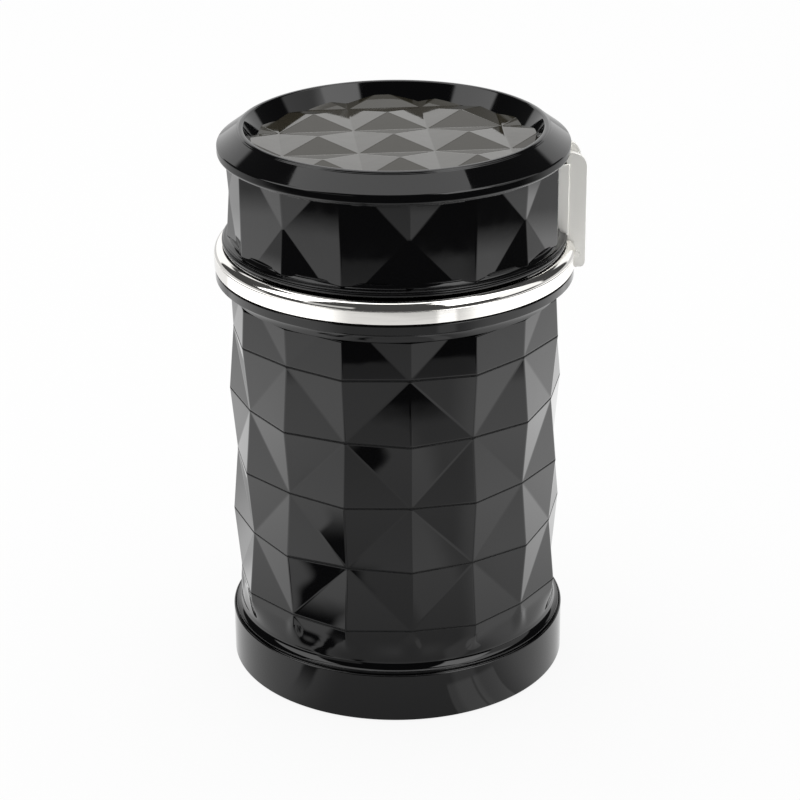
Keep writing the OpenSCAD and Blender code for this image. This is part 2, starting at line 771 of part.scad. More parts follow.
module lid_shell() {
    radius = function (i, j)
        i % 2 == 1 ? (star_r + peak_r) / 2 + 0.1 : j == 1 ? star_r : peak_r - 0.2;
    lip_h = 0.65;
    lip_edge = 0.15;
    step_r = lip_r - 0.4;
    bulge = 0.6;
    bulge_r = flange_r - bulge;
    edge_z = under_z + flange_edge_h;
    crest_edge = 0.35;
    pad_w = bracket_w + 2 * slack;
    color(plastic_black)
        difference() {
            union() {
                intersection() {
                    faceted_post(lid_z + lid_star_rise - row_h, 2, 1, radius);
                    translate([0, 0, cove_z]) cylinder(r = base_r + 5, h = under_z + 0.5 - cove_z);
                }
                rotate_extrude()
                    polygon(concat(
                        [[0, lid_z], [lip_r - lip_edge, lid_z], [lip_r, lid_z + lip_edge],
                         [lip_r, lid_z + lip_h], [lip_r - 0.2, lid_z + lip_h + lip_edge],
                         [step_r, lid_z + lip_h + 0.2]],
                        cove(star_r + 0.15, cove_z + 0.2, 1.3, step_r),
                        [[0, cove_z + 0.2]]));
                rotate_extrude()
                    polygon(concat(
                        [[0, under_z - 2], [star_r - 0.5, under_z - 2], [star_r - 0.5, under_z],
                         [star_r + 0.3, under_z], [star_r + 1.1, under_z + 0.15],
                         [star_r + 1.2, under_z + 0.35]],
                        arc(bulge_r, under_z + bulge + 0.35, bulge, -80, 0, 5),
                        arc(bulge_r, edge_z - bulge, bulge, 0, 52, 5),
                        [[crest_r + crest_edge, overall_h - 0.55]],
                        arc(crest_r - 0.3, overall_h - crest_edge, crest_edge, 20, 90, 5),
                        arc(crest_r - crest_w + 0.3, overall_h - crest_edge, crest_edge, 90, 150, 5),
                        [[dish_r + 0.2, dish_z + 0.3], [dish_r, dish_z], [dish_r, panel_z - rest_gap],
                         [0, panel_z - rest_gap]]));
                // Flat pad for the hinge bracket
                translate([0, -pad_w / 2, cove_z])
                    cube([bracket_x, pad_w, under_z - cove_z + 2 * rest_gap]);
            }
            hole(lid_bore_r, lid_z - 1, panel_z - panel_ledge_h - lid_z + 1 + eps, $fn);
            hole(dish_r - panel_ledge_w, panel_z - 2 * panel_ledge_h, 3 * panel_ledge_h, $fn);
            hole(dish_r, panel_z - rest_gap, dish_d, $fn);
            // Room for the bracket in the lip
            translate([bracket_x, -pad_w / 2, lid_z - 1])
                cube([base_r, pad_w, bracket_top_z + rest_gap - lid_z + 1]);
            for (z = bracket_screw_z)
                translate([bracket_x, 0, z])
                    rotate([0, 90, 0])
                        hole(bracket_screw_r + seat_fit, -bracket_screw_len, 2 * bracket_screw_len);
        }
}

module lid_panel() {
    reach = floor(dish_r / pyramid_w) + 1;
    color(plastic_black)
        intersection() {
            union() {
                translate([0, 0, panel_z]) cylinder(r = panel_r, h = panel_h);
                for (i = [-reach:reach]) for (j = [-reach:reach])
                    translate([i * pyramid_w, j * pyramid_w, dish_z - eps])
                        rotate(45) cylinder(r1 = pyramid_w / sqrt(2), r2 = 0, h = pyramid_h, $fn = 4);
            }
            translate([0, 0, panel_z]) cylinder(r = panel_r, h = panel_h + pyramid_h + 1);
        }
}

module lid_liner() {
    color(plastic_black) {
        translate([0, 0, liner_z]) cylinder(r = liner_r, h = liner_h);
        ring(plug_r - plug_w, plug_r, plug_z, liner_z - plug_z + eps);
        ring(liner_r - liner_rim[0], liner_r, liner_z + liner_h - eps, liner_rim[1]);
    }
}

module lid_seal() {
    color(silicone) ring(plug_r + seat_fit, seal_r, liner_z - seal_drop, seal_h);
}

module hinge_bracket() {
    top = bracket_top_z - pin_z;
    foot = -cheek_drop;
    back = bracket_x - pin_x;
    toe = 1;
    color(bright_steel)
        difference() {
            union() {
                for (side = [-1, 1])
                    translate([pin_x, side * (bracket_w - cheek_t) / 2 + cheek_t / 2, pin_z])
                        rotate([90, 0, 0])
                            linear_extrude(cheek_t)
                                polygon(concat(
                                    [[back, foot]],
                                    arc(cheek_reach - toe, foot + toe, toe, -90, 0, 8),
                                    arc(cheek_reach - cheek_corner, top - cheek_corner,
                                        cheek_corner, 0, 90, 12),
                                    [[back, top]]));
                translate([bracket_x, -bracket_w / 2, bracket_z])
                    cube([web_t, bracket_w, bracket_top_z - bracket_z]);
            }
            translate([pin_x, bracket_w, pin_z])
                rotate([90, 0, 0]) cylinder(r = pin_r + run_fit, h = 2 * bracket_w, $fn = 48);
            for (z = bracket_screw_z)
                translate([bracket_x, 0, z])
                    rotate([0, 90, 0]) hole(bracket_screw_r + run_fit, -1, web_t + 2);
        }
}

module bracket_screws() {
    color(dark_steel)
        for (z = bracket_screw_z)
            translate([0, 0, z])
                rotate([0, 90, 0])
                    screw(bracket_x + web_t, bracket_screw_r, bracket_screw_head_r, screw_head_h,
                          bracket_screw_len);
}

base_cup();
foot_pad();
jar_cushion();
glass_jar();
neck_gasket();
neck_insert();
glide_ring();
outer_burr();
burr_clamp();
clamp_screws();
bearing_bridge();
bridge_screws();
shaft_bushing();
head_collar();
bright_ring();
hinge_knuckle();
hinge_pin();
driver_plate();
driver_screws();
drive_shaft();
shaft_nut();
thrust_washer();
burr_spring();
inner_burr();
click_washer();
adjusting_nut();
lid_shell();
lid_panel();
lid_liner();
lid_seal();
hinge_bracket();
bracket_screws();
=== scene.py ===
"""Looks of a hand grinder with a black cut-glass jar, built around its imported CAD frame.

Metres, +Z up. The sections follow the object from its foot to its lid, then the studio.
"""
import math

import bmesh
import bpy
from mathutils import Matrix, Vector
from mathutils.bvhtree import BVHTree


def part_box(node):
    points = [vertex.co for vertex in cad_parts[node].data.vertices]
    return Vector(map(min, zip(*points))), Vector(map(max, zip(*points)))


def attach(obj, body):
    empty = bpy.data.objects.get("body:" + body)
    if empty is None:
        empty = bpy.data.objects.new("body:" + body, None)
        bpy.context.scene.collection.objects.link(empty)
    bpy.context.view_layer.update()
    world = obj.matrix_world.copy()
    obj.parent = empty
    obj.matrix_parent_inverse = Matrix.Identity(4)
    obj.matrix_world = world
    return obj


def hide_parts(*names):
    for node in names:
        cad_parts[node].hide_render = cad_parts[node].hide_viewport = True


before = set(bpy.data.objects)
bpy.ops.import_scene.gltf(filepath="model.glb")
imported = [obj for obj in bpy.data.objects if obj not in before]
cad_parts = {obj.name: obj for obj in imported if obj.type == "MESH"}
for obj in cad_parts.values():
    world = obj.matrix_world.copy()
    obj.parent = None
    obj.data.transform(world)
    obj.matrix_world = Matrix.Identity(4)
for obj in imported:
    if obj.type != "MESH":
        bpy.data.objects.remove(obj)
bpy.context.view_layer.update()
MM = 0.001

# ---- Foot pad -------------------------------------------------------------------------------
# A disc of black rubber under the cup keeps the grinder from sliding. It is moulded with a fine
# spark-eroded grain, so it stays dull from every side.


def linear(code):
    """Linear RGBA of an sRGB hex colour."""
    channels = [int(code[k:k + 2], 16) / 255 for k in (1, 3, 5)]
    return (*[c / 12.92 if c < 0.04045 else ((c + 0.055) / 1.055) ** 2.4 for c in channels], 1)


def add_node(tree, kind, values=(), links=(), **settings):
    """Adds a node, sets its properties and its sockets' values, and links sockets into it."""
    node = tree.nodes.new(kind)
    for name, value in settings.items():
        setattr(node, name, value)
    for socket, value in dict(values).items():
        node.inputs[socket].default_value = value
    for socket, source in dict(links).items():
        tree.links.new(source, node.inputs[socket])
    return node


def surface(name, colour, roughness, grain, depth, stretch=(1, 1, 1), spread=0.03, detail=2, **values):
    """A material with a relief and a roughness that vary over one noise pattern.

    grain is the pattern's size and depth its relief, in metres; stretch draws it out along an axis.
    """
    material = bpy.data.materials.new(name)
    material.use_nodes = True
    tree = material.node_tree
    tree.nodes.clear()
    place = add_node(tree, "ShaderNodeTexCoord").outputs["Object"]
    scaled = add_node(tree, "ShaderNodeMapping", {"Scale": stretch}, {"Vector": place})
    noise = add_node(tree, "ShaderNodeTexNoise", {"Scale": 1 / grain, "Detail": detail},
                     {"Vector": scaled.outputs[0]})
    level = add_node(tree, "ShaderNodeMapRange",
                     {"From Min": 0.3, "From Max": 0.7, "To Min": max(0.01, roughness - spread),
                      "To Max": roughness + spread}, {"Value": noise.outputs[0]})
    relief = add_node(tree, "ShaderNodeBump", {"Strength": 1, "Distance": depth},
                      {"Height": noise.outputs[0]})
    shader = add_node(tree, "ShaderNodeBsdfPrincipled", {"Base Color": linear(colour), **values},
                      {"Roughness": level.outputs[0], "Normal": relief.outputs[0]})
    add_node(tree, "ShaderNodeOutputMaterial", {}, {"Surface": shader.outputs[0]})
    return material


def dress(node, material):
    """Gives a CAD node its material."""
    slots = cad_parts[node].data.materials
    slots.clear()
    slots.append(material)


rubber = surface("nitrile_rubber", "#1d1d1f", 0.72, 0.5 * MM, 0.05 * MM)
dress("foot_pad", rubber)


def spin(name, outline, material, turns=192):
    """A turned solid: outline is a closed run of (radius, height) points, or one that ends on the axis."""
    mesh = bmesh.new()
    rings = []
    for radius, height in outline:
        count = turns if radius > 1e-7 else 1
        rings.append([mesh.verts.new((radius * math.cos(math.tau * k / turns),
                                      radius * math.sin(math.tau * k / turns), height))
                      for k in range(count)])
    closed = len(rings[0]) > 1 and len(rings[-1]) > 1
    for low, high in zip(rings, rings[1:] + rings[:1] if closed else rings[1:]):
        for k in range(turns):
            corners = [low[k % len(low)], low[(k + 1) % len(low)],
                       high[(k + 1) % len(high)], high[k % len(high)]]
            mesh.faces.new(list(dict.fromkeys(corners)))
    bmesh.ops.recalc_face_normals(mesh, faces=mesh.faces)
    return keep_flats(settled(name, mesh, material))


def keep_flats(piece):
    """Lets a piece's large faces rule the shading, so that only its small roundings look round."""
    weigh = piece.modifiers.new("Flats", "WEIGHTED_NORMAL")
    weigh.keep_sharp = True
    return settle(piece)


def settle(piece):
    """Turns an object and its modifiers into a plain mesh."""
    graph = bpy.context.evaluated_depsgraph_get()
    result = bpy.data.meshes.new_from_object(piece.evaluated_get(graph))
    piece.modifiers.clear()
    piece.data = result
    return piece


def settled(name, mesh, material, sharp=30):
    """An object at the origin that holds a finished bmesh, shaded smooth between its sharp edges."""
    data = bpy.data.meshes.new(name)
    mesh.to_mesh(data)
    mesh.free()
    data.shade_smooth()
    data.set_sharp_from_angle(angle=math.radians(sharp))
    data.materials.clear()
    data.materials.append(material)
    piece = bpy.data.objects.new(name, data)
    bpy.context.scene.collection.objects.link(piece)
    return piece


def arc(radius, height, bend, start, end, steps=8):
    """Outline points of an arc of radius bend about (radius, height), between two angles in degrees."""
    turns = [math.radians(start + (end - start) * k / steps) for k in range(steps + 1)]
    return [(radius + bend * math.cos(a), height + bend * math.sin(a)) for a in turns]


def fit(piece, body, slot, *stood_for):
    """Hands a piece to its body, in place of the CAD nodes that it stands for."""
    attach(piece, body)
    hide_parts(*stood_for)


pad_low, pad_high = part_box("foot_pad")
groove_w = 0.8 * MM
groove_d = 0.35 * MM
groove_pitch = 4 * MM
pad_outline = [(0, pad_high.z)] + [(pad_high.x, pad_high.z)]
pad_outline += arc(pad_high.x - 0.3 * MM, pad_low.z + 0.3 * MM, 0.3 * MM, 0, -90, 4)
for ring in range(7, 1, -1):
    middle = ring * groove_pitch
    pad_outline += [(middle + groove_w / 2, pad_low.z), (middle + groove_w / 4, pad_low.z + groove_d),
                    (middle - groove_w / 4, pad_low.z + groove_d), (middle - groove_w / 2, pad_low.z)]
pad_outline.append((0, pad_low.z))
fit(spin("foot_pad_grooved", pad_outline, rubber), "jar", "rubber", "foot_pad")

# ---- Base cup -------------------------------------------------------------------------------
# The jar stands in a shallow cup moulded in black ABS from a polished tool. Its band is plain, with
# a fine groove and a raised rim at the top, and mirrors the floor with a faint orange peel.

abs_gloss = surface("polished_abs", "#060607", 0.05, 3.5 * MM, 0.0025 * MM, spread=0.02, IOR=1.4)
cup_low, cup_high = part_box("base_cup")
band_r = cup_high.x
band_top = cup_high.z - 0.3 * MM
cup_inner_r = band_r - 1.3 * MM
cup_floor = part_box("jar_cushion")[0].z
cup_outline = [(0, pad_high.z), (pad_high.x + 0.03 * MM, pad_high.z), (pad_high.x + 0.03 * MM, cup_low.z)]
cup_outline += arc(band_r - 0.2 * MM, cup_low.z + 0.2 * MM, 0.2 * MM, -90, 0, 6)
cup_outline += arc(band_r - 0.3 * MM, band_top - 0.3 * MM, 0.3 * MM, 0, 90)
cup_outline += arc(band_r - 0.6 * MM, band_top - 0.1 * MM, 0.15 * MM, 0, -180, 6)
cup_outline += arc(band_r - 0.9 * MM, cup_high.z - 0.15 * MM, 0.15 * MM, 0, 90, 4)
cup_outline += [(cup_inner_r, cup_high.z), (cup_inner_r, cup_floor), (0, cup_floor)]
fit(spin("base_band", cup_outline, abs_gloss), "jar", "black_plastic", "base_cup")

silicone = surface("silicone_rubber", "#9a9c9e", 0.5, 0.8 * MM, 0.01 * MM)
dress("jar_cushion", silicone)

# ---- Jar ------------------------------------------------------------------------------------
# The jar is black glass pressed in a mould, then fire-polished. Its wall is a lattice of flat
# facets that sink to eight-pointed stars; the polish softens the creases and leaves a slow ripple.

COLUMNS = 16
ROW = 13.7 * MM
STAR_R = band_r - 1.9 * MM
PEAK_R = STAR_R + 1.2 * MM
facet_foot = band_top + 2.7 * MM
first_stars = facet_foot + 6.4 * MM


def mould_lines(material, line_w, depth):
    """Adds to a material the fine matt grooves that a mould leaves level with every row of stars."""
    tree = material.node_tree
    relief = next(n for n in tree.nodes if n.type == "BUMP")
    shader = relief.outputs[0].links[0].to_node
    place = next(n for n in tree.nodes if n.type == "TEX_COORD").outputs["Object"]
    height = add_node(tree, "ShaderNodeSeparateXYZ", {}, {0: place}).outputs[2]
    level = add_node(tree, "ShaderNodeMath", {1: first_stars - ROW / 2}, {0: height}, operation="SUBTRACT")
    within = add_node(tree, "ShaderNodeMath", {1: ROW}, {0: level.outputs[0]}, operation="FLOORED_MODULO")
    offset = add_node(tree, "ShaderNodeMath", {1: ROW / 2}, {0: within.outputs[0]}, operation="SUBTRACT")
    away = add_node(tree, "ShaderNodeMath", {}, {0: offset.outputs[0]}, operation="ABSOLUTE")
    groove = add_node(tree, "ShaderNodeMapRange", {"From Max": line_w / 2}, {"Value": away.outputs[0]},
                      interpolation_type="SMOOTHSTEP")
    lines = add_node(tree, "ShaderNodeBump", {"Strength": 1, "Distance": depth},
                     {"Height": groove.outputs[0], "Normal": relief.outputs[0]})
    tree.links.new(lines.outputs[0], shader.inputs["Normal"])
    polish = shader.inputs["Roughness"].links[0].from_socket
    matt = 0.9
    dulled = add_node(tree, "ShaderNodeMix", {2: matt}, {0: groove.outputs[0], 3: polish})
    tree.links.new(dulled.outputs[0], shader.inputs["Roughness"])
    return material


# A mould's real seam is finer; 0.75 mm is as coarse as it needs to be to show as a dark line.
SEAM_W = 0.75 * MM
SEAM_DEPTH = 0.05 * MM
FACET_GLASS = mould_lines(
    surface("pressed_black_glass", "#030304", 0.03, 9 * MM, 0.015 * MM, spread=0.012, IOR=1.4),
    SEAM_W, SEAM_DEPTH)


def facet_tree():
    """Geometry tree of a round wall of facets: a grid wrapped round the axis, whose nodes sink or rise."""
    tree = bpy.data.node_groups.new("Facet wall", "GeometryNodeTree")
    for name, kind in (("Columns", "Int"), ("Rows", "Int"), ("Row height", "Float"),
                       ("Foot height", "Float"), ("Even sunk", "Float"), ("Even raised", "Float"),
                       ("Odd sunk", "Float"), ("Odd raised", "Float"), ("Finish", "Material")):
        tree.interface.new_socket(name, in_out="INPUT", socket_type="NodeSocket" + kind)
    tree.interface.new_socket("Wall", in_out="OUTPUT", socket_type="NodeSocketGeometry")
    given = add_node(tree, "NodeGroupInput").outputs
    across = add_node(tree, "ShaderNodeMath", {1: 1}, {0: given["Columns"]}, operation="ADD").outputs[0]
    up = add_node(tree, "ShaderNodeMath", {1: 1}, {0: given["Rows"]}, operation="ADD").outputs[0]
    grid = add_node(tree, "GeometryNodeMeshGrid", {}, {"Vertices X": across, "Vertices Y": up})
    index = add_node(tree, "GeometryNodeInputIndex").outputs[0]
    share = add_node(tree, "ShaderNodeMath", {}, {0: index, 1: up}, operation="DIVIDE").outputs[0]
    column = add_node(tree, "ShaderNodeMath", {}, {0: share}, operation="FLOOR").outputs[0]
    row = add_node(tree, "ShaderNodeMath", {}, {0: index, 1: up}, operation="MODULO").outputs[0]
    odd_column = add_node(tree, "ShaderNodeMath", {1: 2}, {0: column}, operation="MODULO").outputs[0]
    odd_row = add_node(tree, "ShaderNodeMath", {1: 2}, {0: row}, operation="MODULO").outputs[0]
    even_r = add_node(tree, "ShaderNodeMix", {}, {0: odd_row, 2: given["Even raised"],
                                                  3: given["Even sunk"]}).outputs[0]
    odd_r = add_node(tree, "ShaderNodeMix", {}, {0: odd_row, 2: given["Odd sunk"],
                                                 3: given["Odd raised"]}).outputs[0]
    radius = add_node(tree, "ShaderNodeMix", {}, {0: odd_column, 2: even_r, 3: odd_r}).outputs[0]
    part = add_node(tree, "ShaderNodeMath", {}, {0: column, 1: given["Columns"]}, operation="DIVIDE")
    angle = add_node(tree, "ShaderNodeMath", {1: math.tau, 2: -math.pi / 2}, {0: part.outputs[0]},
                     operation="MULTIPLY_ADD").outputs[0]
    cosine = add_node(tree, "ShaderNodeMath", {}, {0: angle}, operation="COSINE").outputs[0]
    sine = add_node(tree, "ShaderNodeMath", {}, {0: angle}, operation="SINE").outputs[0]
    x = add_node(tree, "ShaderNodeMath", {}, {0: radius, 1: cosine}, operation="MULTIPLY").outputs[0]
    y = add_node(tree, "ShaderNodeMath", {}, {0: radius, 1: sine}, operation="MULTIPLY").outputs[0]
    z = add_node(tree, "ShaderNodeMath", {}, {0: row, 1: given["Row height"], 2: given["Foot height"]},
                 operation="MULTIPLY_ADD").outputs[0]
    place = add_node(tree, "ShaderNodeCombineXYZ", {}, {0: x, 1: y, 2: z}).outputs[0]
    wrapped = add_node(tree, "GeometryNodeSetPosition", {}, {"Geometry": grid.outputs[0], "Position": place})
    sewn = add_node(tree, "GeometryNodeMergeByDistance", {"Distance": 0.01 * MM},
                    {"Geometry": wrapped.outputs[0]})
    facets = add_node(tree, "GeometryNodeTriangulate", {}, {0: sewn.outputs[0]},
                      quad_method="SHORTEST_DIAGONAL")
    solid = add_node(tree, "GeometryNodeRealizeInstances", {}, {0: facets.outputs[0]})
    coated = add_node(tree, "GeometryNodeSetMaterial", {}, {"Geometry": solid.outputs[0],
                                                            "Material": given["Finish"]})
    add_node(tree, "NodeGroupOutput", {}, {0: coated.outputs[0]})
    return tree


def grow(name, tree, inputs):
    """Runs a geometry tree and returns its result as a plain mesh object."""
    piece = bpy.data.objects.new(name, bpy.data.meshes.new(name))
    bpy.context.scene.collection.objects.link(piece)
    modifier = piece.modifiers.new(tree.name, "NODES")
    modifier.node_group = tree
    for socket in tree.interface.items_tree:
        if socket.name in inputs:
            modifier[socket.identifier] = inputs[socket.name]
    return settle(piece)


def round_creases(piece, width, angle, segments=2):
    """Rounds a piece's creases and keeps its flat faces flat in the light."""
    piece.data.shade_smooth()
    bevel = piece.modifiers.new("Creases", "BEVEL")
    bevel.width = width
    bevel.segments = segments
    bevel.limit_method = "ANGLE"
    bevel.angle_limit = math.radians(angle)
    bevel.miter_outer = "MITER_ARC"
    return keep_flats(piece)


def facet_skin(name, inputs, low, high, inner_r, crease, neck_r=None):
    """The outer skin of a faceted wall, cut level at both ends and closed inwards to a radius.

    Where neck_r is given, the pattern flattens from the last whole row towards that radius.
    """
    piece = grow(name, facet_wall, inputs)
    mesh = bmesh.new()
    mesh.from_mesh(piece.data)
    for vertex in (v for v in mesh.verts if neck_r and v.co.z > high):
        vertex.co.xy *= neck_r / vertex.co.xy.length
    for level, side in ((low, "clear_inner"), (high, "clear_outer")):
        bmesh.ops.bisect_plane(mesh, geom=[*mesh.verts, *mesh.edges, *mesh.faces], dist=1e-7,
                               plane_co=(0, 0, level), plane_no=(0, 0, 1), **{side: True})
    rims = [e for e in mesh.edges if e.is_boundary]
    moved = bmesh.ops.extrude_edge_only(mesh, edges=rims)["geom"]
    inner = {v for v in moved if isinstance(v, bmesh.types.BMVert)}
    for vertex in inner:
        vertex.co.xy *= inner_r / vertex.co.xy.length
    loops = [e for e in mesh.edges if e.is_boundary and set(e.verts) <= inner]
    bmesh.ops.bridge_loops(mesh, edges=loops)
    bmesh.ops.recalc_face_normals(mesh, faces=mesh.faces)
    mesh.to_mesh(piece.data)
    mesh.free()
    return round_creases(piece, crease, 2)


def run_out(name, wall, level, cove_r, cove_z, end_r, end_z, inner_r, material, turns=384):
    """A foot below a facet wall: its facets fade from a level to a circle, which ends in a round cove.

    wall's outline is felt for just above the level, from the axis outwards, so the two meet without
    a step, and its lean is carried on at first. curl is how much of a quarter turn the cove makes.
    """
    tree = BVHTree.FromPolygons([v.co for v in wall.data.vertices], [f.vertices for f in wall.data.polygons])
    mesh = bmesh.new()
    fading = [(k / 16, 0) for k in range(17)]
    curling = [(1, k / 12) for k in range(1, 13)]
    curl = 0.93
    first_feel, second_feel = 0.02 * MM, 0.5 * MM
    rows = [[] for _ in range(len(fading + curling) + 2)]
    for k in range(turns):
        way = Vector((math.cos(math.tau * k / turns), math.sin(math.tau * k / turns), 0))
        rim, above = [tree.ray_cast(way * inner_r + Vector((0, 0, level + lift)), way)[0].xy.length
                      for lift in (first_feel, second_feel)]
        lean = (rim - above) / (second_feel - first_feel) * (level - cove_z)
        for row, (fade, turn) in zip(rows, fading + curling):
            left = 1 - fade * fade * (3 - 2 * fade)
            out = (1 - math.sqrt(1 - (curl * turn) ** 2)) / (1 - math.sqrt(1 - curl ** 2))
            radius = cove_r + (rim - cove_r) * left + lean * fade * (1 - fade) ** 2 + (end_r - cove_r) * out
            height = level + (cove_z - level) * fade + (end_z - cove_z) * turn
            row.append(mesh.verts.new((*way.xy * radius, height)))
        rows[-2].append(mesh.verts.new((*way.xy * inner_r, end_z)))
        rows[-1].append(mesh.verts.new((*way.xy * inner_r, level)))
    for high, low in zip(rows, rows[1:] + rows[:1]):
        for k in range(turns):
            mesh.faces.new((high[k], high[(k + 1) % turns], low[(k + 1) % turns], low[k]))
    bmesh.ops.recalc_face_normals(mesh, faces=mesh.faces)
    return settled(name, mesh, material, 50)


def carve(piece, *cutters, operation="DIFFERENCE"):
    """Cuts other objects out of a piece, or keeps what they share, and removes them."""
    for cutter in cutters:
        cut = piece.modifiers.new("Cut", "BOOLEAN")
        cut.operation = operation
        cut.solver = "EXACT"
        cut.object = cutter
    settle(piece)
    for cutter in cutters:
        bpy.data.objects.remove(cutter)
    piece.data.shade_smooth()
    piece.data.set_sharp_from_angle(angle=math.radians(30))
    return keep_flats(piece)


def block(low, high, turn=0):
    """A box between two corners, turned about the axis by an angle in degrees, to cut with or to add."""
    mesh = bmesh.new()
    bmesh.ops.create_cube(mesh, size=1)
    size, middle = Vector(high) - Vector(low), (Vector(high) + Vector(low)) / 2
    place = Matrix.Rotation(math.radians(turn), 4, "Z") @ Matrix.Translation(middle)
    bmesh.ops.transform(mesh, matrix=place @ Matrix.Diagonal((*size, 1)), verts=mesh.verts)
    return settled("cutter", mesh, FACET_GLASS)


def joined(name, *parts):
    """One object from several, with their own materials and shading."""
    whole = parts[0]
    with bpy.context.temp_override(active_object=whole, object=whole, selected_objects=parts,
                                   selected_editable_objects=parts):
        bpy.ops.object.join()
    whole.name = name
    return whole


facet_wall = facet_tree()
jar_low, jar_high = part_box("glass_jar")
bore_r = STAR_R - 3.6 * MM
jar_floor = jar_low.z + 6 * MM
foot_r = jar_high.x
foot_step = cup_high.z + 0.3 * MM
fade_top = facet_foot + 4.2 * MM
jar_skin = facet_skin("jar_skin", {
    "Columns": COLUMNS, "Rows": 6, "Row height": ROW, "Foot height": first_stars - ROW,
    "Even sunk": STAR_R, "Even raised": PEAK_R, "Odd sunk": STAR_R, "Odd raised": PEAK_R,
    "Finish": FACET_GLASS}, fade_top - MM, jar_high.z, bore_r + 1.9 * MM, 0.3 * MM, STAR_R + 0.45 * MM)
carve(jar_skin, block((-foot_r - MM, -foot_r - MM, foot_step), (foot_r + MM, foot_r + MM, fade_top)))
jar_cove = run_out("jar_cove", jar_skin, fade_top, STAR_R + 0.05 * MM, foot_step + 1.8 * MM,
                   foot_r - 0.2 * MM, foot_step, bore_r + 2 * MM, FACET_GLASS)
core_outline = [(0, jar_low.z)]
core_outline += arc(cup_inner_r - 1.3 * MM, jar_low.z + MM, MM, -90, 0)
core_outline += [(cup_inner_r - 0.3 * MM, cup_high.z + 0.05 * MM)]
core_outline += arc(foot_r - 0.2 * MM, foot_step - 0.18 * MM, 0.2 * MM, -75, 60, 8)
core_outline += [(bore_r + 2.2 * MM, foot_step - 0.05 * MM), (bore_r + 2.2 * MM, jar_high.z - 0.02 * MM)]
core_outline += arc(bore_r + 0.3 * MM, jar_high.z - 0.32 * MM, 0.3 * MM, 90, 180, 4)
core_outline += arc(bore_r - 3 * MM, jar_floor + 3 * MM, 3 * MM, 0, -90, 10)
core_outline += [(0, jar_floor)]
jar_core = spin("jar_core", core_outline, FACET_GLASS)
slot_w, slot_h, slot_d = 4.6 * MM, 7 * MM, 1.2 * MM
slot_low = (0, -slot_w / 2, jar_high.z - slot_h)
slot_high = (bore_r + slot_d, slot_w / 2, jar_high.z + MM)
carve(jar_core, *[block(slot_low, slot_high, turn) for turn in (0, 120, 240)])
fit(joined("pressed_jar", jar_core, jar_cove, jar_skin), "jar", "black_glass", "glass_jar")

# ---- Neck insert ----------------------------------------------------------------------------
# A tube moulded in black polypropylene drops into the jar's neck on three keys and carries the
# outer burr. It lifts out with the head. Its moulding is satin, as a cheap tool leaves it.


def break_edges(node, body, slot, material, width, angle=28):
    """A copy of a CAD piece with its sharp edges rounded, in place of the plain one."""
    mesh = bmesh.new()
    mesh.from_mesh(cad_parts[node].data)
    bmesh.ops.remove_doubles(mesh, verts=mesh.verts, dist=0.0005 * MM)
    bmesh.ops.dissolve_limit(mesh, angle_limit=math.radians(0.3), verts=mesh.verts, edges=mesh.edges)
    piece = settled(node + "_finished", mesh, material, angle)
    fit(round_creases(piece, width, angle), body, slot, node)


matte_plastic = surface("satin_polypropylene", "#151517", 0.42, 0.35 * MM, 0.006 * MM)
acetal = surface("natural_acetal", "#e3e0d6", 0.38, 1.5 * MM, 0.004 * MM)
break_edges("neck_insert", "insert", "black_matte", matte_plastic, 0.15 * MM)
dress("neck_gasket", silicone)
dress("glide_ring", acetal)

# ---- Burrs ----------------------------------------------------------------------------------
# Two conical burrs of hardened steel with ground teeth: the outer one is clamped in the insert, the
# inner one hangs on the shaft. Grinding leaves them a dull dark grey with fine bright scores.

burr_steel = surface("hardened_burr_steel", "#6f7174", 0.34, 0.25 * MM, 0.004 * MM, (1, 1, 6), 0.1,
                     Metallic=1)
ground_steel = surface("turned_steel", "#a9a9ab", 0.26, 0.3 * MM, 0.002 * MM, (1, 1, 8), 0.08,
                       Metallic=1)
dress("outer_burr", burr_steel)
dress("inner_burr", burr_steel)
dress("click_washer", ground_steel)
break_edges("burr_clamp", "insert", "turned_steel", ground_steel, 0.12 * MM)
break_edges("adjusting_nut", "nut", "black_matte", matte_plastic, 0.25 * MM)

# ---- Bearing bridge and shaft ---------------------------------------------------------------
# A pressed steel bridge spans the insert and holds a sintered bronze bushing. The ground shaft runs
# in it, with a spring that pushes the inner burr down against its adjusting nut.

bronze = surface("sintered_bronze", "#a47c45", 0.36, 0.3 * MM, 0.008 * MM, spread=0.12, Metallic=1)
break_edges("bearing_bridge", "insert", "turned_steel", ground_steel, 0.15 * MM)
dress("shaft_bushing", bronze)
dress("drive_shaft", ground_steel)
dress("thrust_washer", ground_steel)
dress("burr_spring", ground_steel)

# ---- Screws ---------------------------------------------------------------------------------
# Small socket screws with rounded heads hold the clamp, the bridge, the driver and the hinge. They
# are blackened steel; each set is one screw, repeated round a circle or down a line.

screw_steel = surface("blackened_steel", "#4a4a4c", 0.3, 0.4 * MM, 0.002 * MM, spread=0.08, Metallic=1)


